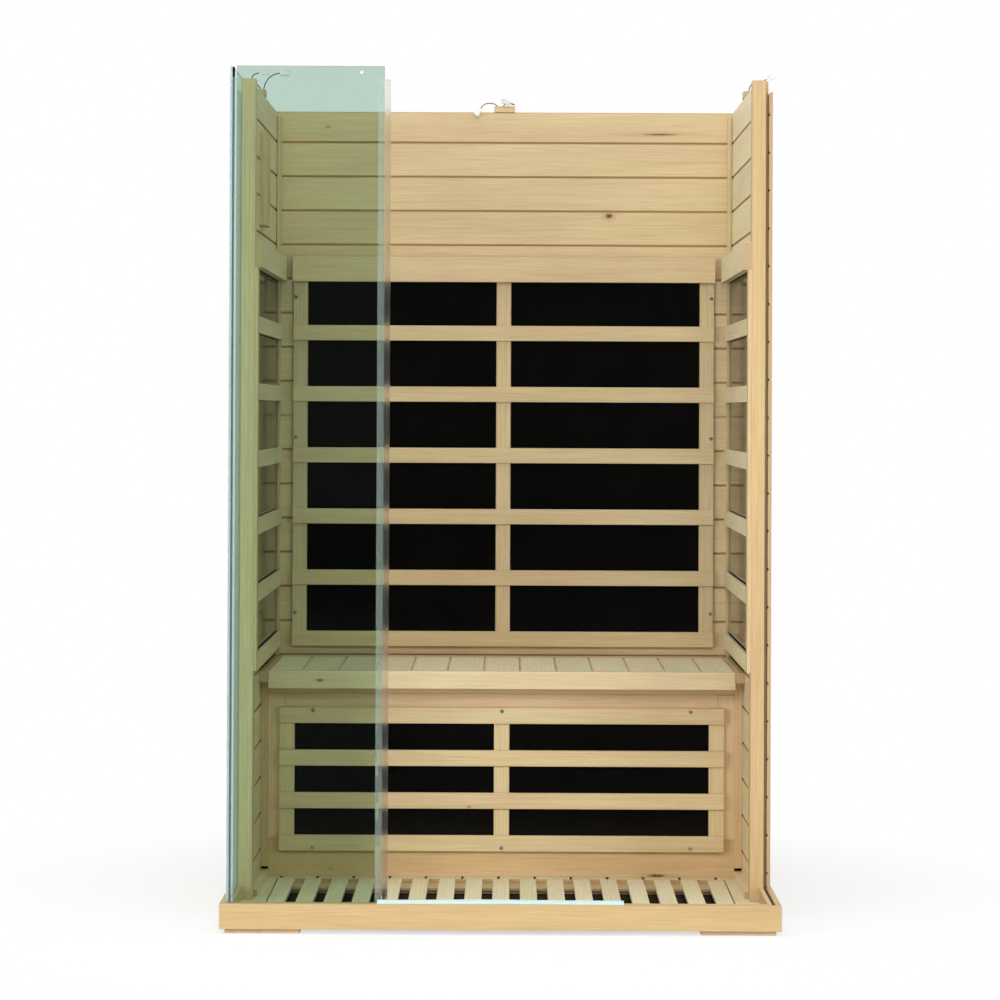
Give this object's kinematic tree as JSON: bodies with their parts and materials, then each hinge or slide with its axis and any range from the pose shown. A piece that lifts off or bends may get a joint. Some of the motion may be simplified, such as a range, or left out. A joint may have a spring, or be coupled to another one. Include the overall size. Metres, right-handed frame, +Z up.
{
  "type": "infrared sauna cabin",
  "caption": "Part-assembled infrared sauna cabin: planked base and walls, heaters behind wooden guards, bench over calf heaters, slatted floor and fixed corner glass.",
  "frame": {"origin": "middle of the base's underside, on the floor under the feet", "axes": "+Z up, +X to the right seen from the open front, +Y towards the back wall"},
  "size_m": [1.2368, 1.05, 1.9187],
  "materials": {
    "wood": "planed softwood, unfinished",
    "plywood": "sanded plywood",
    "heater": "black, slightly glossy",
    "glass": "clear, greenish",
    "seal_black": "matt black",
    "seal_clear": "clear soft plastic",
    "connector": "natural nylon",
    "wire_red": "insulated wire",
    "wire_black": "insulated wire",
    "screw": "zinc plated"
  },
  "bodies": {
    "cabin": {"back_guard_rails": "wood", "back_guard_stiles": "wood", "back_heater_left": "heater", "back_heater_right": "heater", "back_wall_cladding": "wood", "back_wall_frame": "wood", "back_wall_planks": "wood", "base_front_board": "wood", "base_rim_rails": "wood", "bench_ledgers": "wood", "cable_ducts": "wood", "calf_heater_left": "heater", "calf_heater_right": "heater", "corner_seal_core": "seal_black", "corner_seal_profile": "seal_clear", "corner_trims": "wood", "door_edge_seal": "seal_clear", "floor_deck": "wood", "floor_heater": "heater", "floor_heater_board": "plywood", "floor_joists": "wood", "foot_pads": "plywood", "front_glass": "glass", "guard_screws": "screw", "lead_back_red": "wire_red", "lead_back_short": "wire_black", "lead_connectors": "connector", "lead_left_black": "wire_black", "lead_left_short": "wire_black", "lead_right": "wire_black", "left_front_post": "wood", "left_guard_rails": "wood", "left_heater": "heater", "left_wall_cladding": "wood", "left_wall_frame": "wood", "left_wall_planks": "wood", "right_front_post": "wood", "right_guard_rails": "wood", "right_heater": "heater", "right_wall_cladding": "wood", "right_wall_frame": "wood", "right_wall_planks": "wood", "side_glass": "glass", "side_guard_stiles": "wood", "sill_strips": "wood", "skirt_backing": "plywood", "skirt_frame": "wood", "skirt_guard_rails": "wood", "skirt_guard_stiles": "wood", "skirting_battens": "wood", "subfloor": "plywood", "threshold_strip": "seal_clear", "wall_rack": "wood"},
    "bench": {"bench_planks": "wood", "bench_rear_rail": "wood", "bench_fascia": "wood", "bench_battens": "wood"},
    "duckboard": {"floor_slats": "wood", "floor_slat_battens": "wood"}
  },
  "joints": [
    {"name": "bench_slide", "type": "slide", "parent": "cabin", "child": "bench", "axis": [0, -1, 0], "range_m": [0, 0.4]},
    {"name": "duckboard_lift", "type": "slide", "parent": "cabin", "child": "duckboard", "axis": [0, 0, 1], "range_m": [0, 0.4]}
  ]
}
